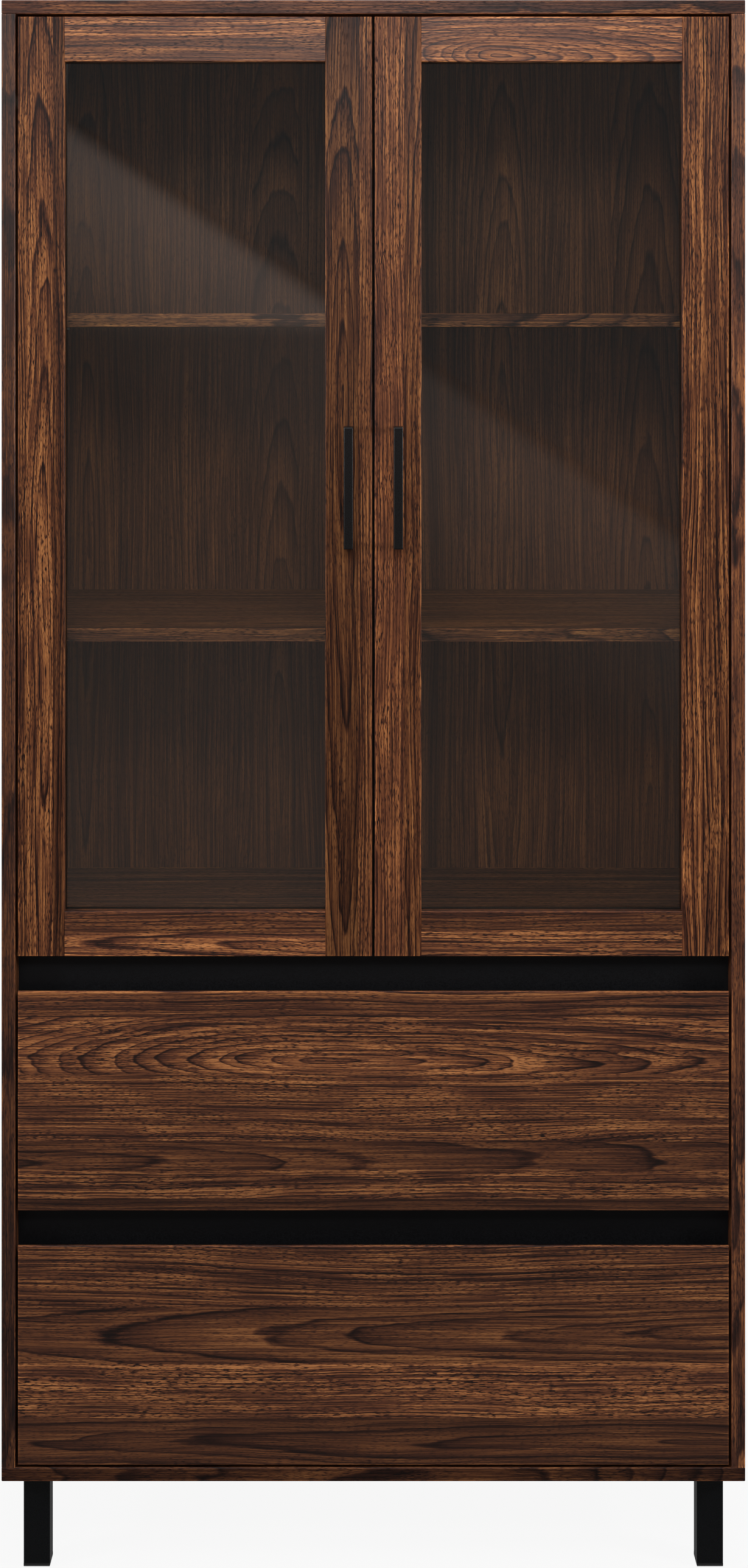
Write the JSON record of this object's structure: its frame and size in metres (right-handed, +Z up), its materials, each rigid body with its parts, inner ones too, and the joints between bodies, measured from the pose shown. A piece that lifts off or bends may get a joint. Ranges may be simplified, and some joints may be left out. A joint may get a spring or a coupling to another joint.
{
  "type": "china cabinet",
  "caption": "Tall walnut-finish china cabinet with framed glass doors over wide drawers with recessed finger pulls, on short black metal legs.",
  "frame": {"origin": "on the floor under the middle of the cabinet, handles included", "axes": "+Z up, -Y towards the front, +X to the cabinet's right as seen from the front"},
  "size_m": [0.813, 0.43, 1.727],
  "materials": {
    "walnut_laminate": "dark walnut print laminate, satin",
    "walnut_back": "dark walnut print paper on hardboard",
    "black_board": "black laminate",
    "drawer_board": "plain brown laminate",
    "clear_glass": "clear float glass",
    "black_bead": "extruded strip",
    "black_metal": "black powder coat",
    "black_plastic": "moulded",
    "hinge_steel": "nickel-plated pressed steel",
    "slide_steel": "zinc-plated rolled steel",
    "screw_steel": "zinc-plated",
    "cam_zinc": "die-cast zinc",
    "beech": "bare fluted dowel"
  },
  "bodies": {
    "carcass": {"top_panel": "walnut_laminate", "bottom_panel": "walnut_laminate", "left_side_panel": "walnut_laminate", "right_side_panel": "walnut_laminate", "display_floor": "walnut_laminate", "back_panel": "walnut_back", "upper_finger_rail": "black_board", "lower_finger_rail": "black_board", "upper_shelf": "walnut_laminate", "lower_shelf": "walnut_laminate", "shelf_pins": "screw_steel", "front_left_leg": "black_metal", "front_right_leg": "black_metal", "rear_left_leg": "black_metal", "rear_right_leg": "black_metal", "leg_glides": "black_plastic", "leg_screws": "screw_steel", "cam_locks": "cam_zinc", "cam_bolts": "screw_steel", "wood_dowels": "beech", "left_hinge_arms": "hinge_steel", "right_hinge_arms": "hinge_steel", "hinge_arm_screws": "screw_steel", "outer_slides": "slide_steel"},
    "left_door": {"left_hinge_stile": "walnut_laminate", "left_meeting_stile": "walnut_laminate", "left_top_rail": "walnut_laminate", "left_bottom_rail": "walnut_laminate", "left_glass": "clear_glass", "left_glass_beads": "black_bead", "left_hinge_cups": "hinge_steel", "left_hinge_pins": "hinge_steel", "left_cup_screws": "screw_steel", "left_handle": "black_metal", "left_handle_screws": "screw_steel"},
    "right_door": {"right_hinge_stile": "walnut_laminate", "right_meeting_stile": "walnut_laminate", "right_top_rail": "walnut_laminate", "right_bottom_rail": "walnut_laminate", "right_glass": "clear_glass", "right_glass_beads": "black_bead", "right_hinge_cups": "hinge_steel", "right_hinge_pins": "hinge_steel", "right_cup_screws": "screw_steel", "right_handle": "black_metal", "right_handle_screws": "screw_steel"},
    "upper_drawer": {"upper_drawer_front": "walnut_laminate", "upper_drawer_left_side": "drawer_board", "upper_drawer_right_side": "drawer_board", "upper_drawer_back": "drawer_board", "upper_drawer_bottom": "drawer_board", "upper_inner_slides": "slide_steel"},
    "upper_slide_middle": {"upper_middle_slides": "slide_steel"},
    "lower_drawer": {"lower_drawer_front": "walnut_laminate", "lower_drawer_left_side": "drawer_board", "lower_drawer_right_side": "drawer_board", "lower_drawer_back": "drawer_board", "lower_drawer_bottom": "drawer_board", "lower_inner_slides": "slide_steel"},
    "lower_slide_middle": {"lower_middle_slides": "slide_steel"}
  },
  "joints": [
    {"name": "left_door_hinge", "type": "hinge", "parent": "carcass", "child": "left_door", "pos_m": [-0.3715, -0.1759, 1.2025], "axis": [0, 0, -1], "range_deg": [0, 100]},
    {"name": "right_door_hinge", "type": "hinge", "parent": "carcass", "child": "right_door", "pos_m": [0.3715, -0.1759, 1.2025], "axis": [0, 0, 1], "range_deg": [0, 100]},
    {"name": "upper_drawer_slide", "type": "slide", "parent": "carcass", "child": "upper_drawer", "axis": [0, -1, 0], "range_m": [0, 0.3]},
    {"name": "upper_middle_slide", "type": "slide", "parent": "carcass", "child": "upper_slide_middle", "axis": [0, -1, 0], "range_m": [0, 0.15]},
    {"name": "lower_drawer_slide", "type": "slide", "parent": "carcass", "child": "lower_drawer", "axis": [0, -1, 0], "range_m": [0, 0.3]},
    {"name": "lower_middle_slide", "type": "slide", "parent": "carcass", "child": "lower_slide_middle", "axis": [0, -1, 0], "range_m": [0, 0.15]}
  ],
  "couplings": [
    {"joint": "upper_middle_slide", "follows": "upper_drawer_slide", "ratio": 0.5},
    {"joint": "lower_middle_slide", "follows": "lower_drawer_slide", "ratio": 0.5}
  ]
}
